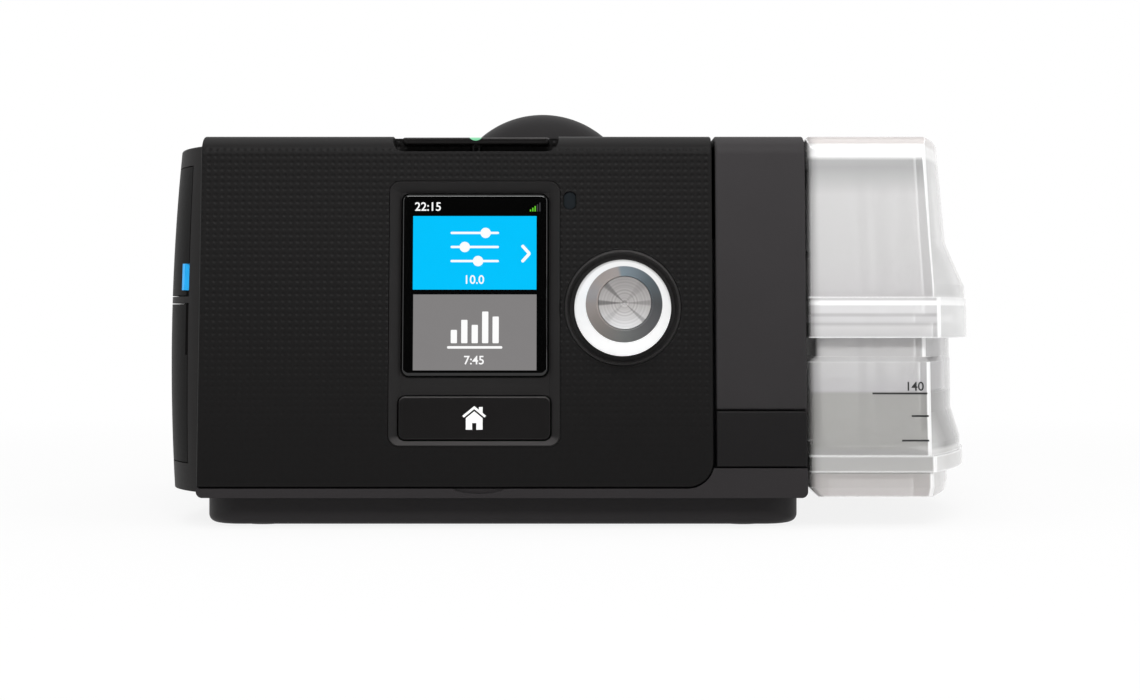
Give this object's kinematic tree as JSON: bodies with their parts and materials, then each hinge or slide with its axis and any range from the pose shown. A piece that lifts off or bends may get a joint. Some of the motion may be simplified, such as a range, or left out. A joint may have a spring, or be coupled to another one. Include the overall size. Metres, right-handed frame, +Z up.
{
  "type": "cpap machine",
  "caption": "Bedside positive-airway-pressure machine with a dial, a home button, a start button, side doors and a clear water tub that slides out to the right.",
  "frame": {"origin": "middle of the machine's footprint, on the table under its rubber feet", "axes": "+X to the right as seen from the front, towards the water tub; +Y to the back, where the hose leaves; +Z up"},
  "size_m": [0.2047, 0.15, 0.1116],
  "materials": {
    "fascia_black": "moulded, fine grid of dimples",
    "cover_grey": "moulded, fine satin texture",
    "case_grey": "moulded, fine satin texture",
    "side_black": "moulded, fine satin texture",
    "plinth_black": "moulded, fine satin texture",
    "bezel_black": "polished bevels",
    "window_glass": "polished, lit display behind it",
    "display": "flat panel",
    "button_black": "polished, slightly crowned",
    "led_green": "lit light pipe",
    "sensor_window": "smoked, polished",
    "knob_metal": "satin turned flank",
    "insert_metal": "spun, fine concentric lines",
    "steel": "ground",
    "inner_plastic": "as moulded",
    "inner_white": "as moulded",
    "board_green": "solder resist",
    "chip_black": "moulded",
    "card_blue": "moulded",
    "socket_metal": "pressed sheet",
    "door_black": "moulded, fine satin texture",
    "tab_blue": "moulded",
    "port_black": "moulded",
    "rubber": "matt",
    "silicone": "matt",
    "heater_metal": "brushed",
    "outlet_grey": "moulded, smooth",
    "copper": "wound wire",
    "contact_brass": "plated",
    "filter_foam": "felted",
    "tub_clear": "polished clear plastic",
    "tub_metal": "brushed",
    "tub_seal": "soft, translucent"
  },
  "bodies": {
    "machine": {"front_fascia": "fascia_black", "right_cover": "cover_grey", "name_plate": "cover_grey", "display_surround": "bezel_black", "display_window": "window_glass", "display_module": "display", "home_switch": "inner_plastic", "light_sensor_window": "sensor_window", "dial_surround": "bezel_black", "encoder_body": "socket_metal", "start_switch": "inner_plastic", "main_board": "board_green", "board_components": "chip_black", "card_socket": "socket_metal", "bottom_case": "case_grey", "top_case": "case_grey", "side_frame": "side_black", "adapter_port": "port_black", "side_door_pins": "steel", "outlet_shroud": "case_grey", "outlet_connector": "outlet_grey", "outlet_duct": "inner_white", "bay_liner": "inner_plastic", "port_seals": "silicone", "heater_plate": "heater_metal", "volute_lower": "inner_white", "volute_upper": "inner_white", "motor_stator": "copper", "motor_can": "socket_metal", "motor_bearings": "steel", "blower_mount": "silicone", "air_filter": "filter_foam", "filter_cover_pin": "steel", "power_socket": "port_black", "power_contacts": "contact_brass", "retention_clip_pin": "steel", "base_plinth": "plinth_black", "rubber_feet": "rubber", "base_screws": "steel"},
    "home_key": {"home_button": "button_black"},
    "start_key": {"start_button": "button_black", "start_button_light": "led_green"},
    "dial_push": {"dial_plunger": "inner_white"},
    "dial": {"dial_knob": "knob_metal", "dial_insert": "insert_metal", "encoder_shaft": "steel"},
    "card_door": {"card_cover": "door_black"},
    "adapter_door": {"adapter_cover": "door_black", "adapter_cover_tab": "tab_blue"},
    "card": {"memory_card": "card_blue"},
    "filter_door": {"filter_cover": "door_black"},
    "clip": {"retention_clip": "door_black"},
    "blower_wheel": {"impeller": "inner_white", "motor_rotor": "steel"},
    "water_tub": {"tub_base": "tub_clear", "tub_lid": "tub_clear", "tub_gasket": "tub_seal", "tub_plate": "tub_metal", "tub_foot_skirt": "tub_clear"}
  },
  "joints": [
    {"name": "home_press", "type": "slide", "parent": "machine", "child": "home_key", "axis": [0, 0.9973, -0.0739], "range_m": [0, 0.0008], "stiffness_N_per_m": 500, "springref_m": -0.001},
    {"name": "start_press", "type": "slide", "parent": "machine", "child": "start_key", "axis": [0, 0, -1], "range_m": [0, 0.0008], "stiffness_N_per_m": 500, "springref_m": -0.001},
    {"name": "dial_press", "type": "slide", "parent": "machine", "child": "dial_push", "axis": [0, 0.9973, -0.0739], "range_m": [0, 0.0008], "stiffness_N_per_m": 800, "springref_m": -0.001},
    {"name": "dial_turn", "type": "hinge", "parent": "dial_push", "child": "dial", "pos_m": [0.0107, -0.06094, 0.05275], "axis": [0, -0.9973, 0.0739], "continuous": true},
    {"name": "card_cover_hinge", "type": "hinge", "parent": "machine", "child": "card_door", "pos_m": [-0.0977, -0.0023, 0.0345], "axis": [0, 0, -1], "range_deg": [0, 90]},
    {"name": "adapter_cover_hinge", "type": "hinge", "parent": "machine", "child": "adapter_door", "pos_m": [-0.0977, -0.0023, 0.0715], "axis": [0, 0, -1], "range_deg": [0, 90]},
    {"name": "card_push", "type": "slide", "parent": "machine", "child": "card", "axis": [1, 0, 0], "range_m": [0, 0.0008], "stiffness_N_per_m": 300, "springref_m": -0.001},
    {"name": "filter_cover_hinge", "type": "hinge", "parent": "machine", "child": "filter_door", "pos_m": [-0.087, 0.0558, 0.038], "axis": [0, 0, 1], "range_deg": [0, 100]},
    {"name": "clip_hinge", "type": "hinge", "parent": "machine", "child": "clip", "pos_m": [-0.043, 0.0558, 0.037], "axis": [1, 0, 0], "range_deg": [0, 110]},
    {"name": "blower_spin", "type": "hinge", "parent": "machine", "child": "blower_wheel", "pos_m": [-0.0616, -0.0043, 0.045], "axis": [0, 0, 1], "continuous": true},
    {"name": "tub_slide", "type": "slide", "parent": "machine", "child": "water_tub", "axis": [1, 0, 0], "range_m": [0, 0.14]}
  ]
}
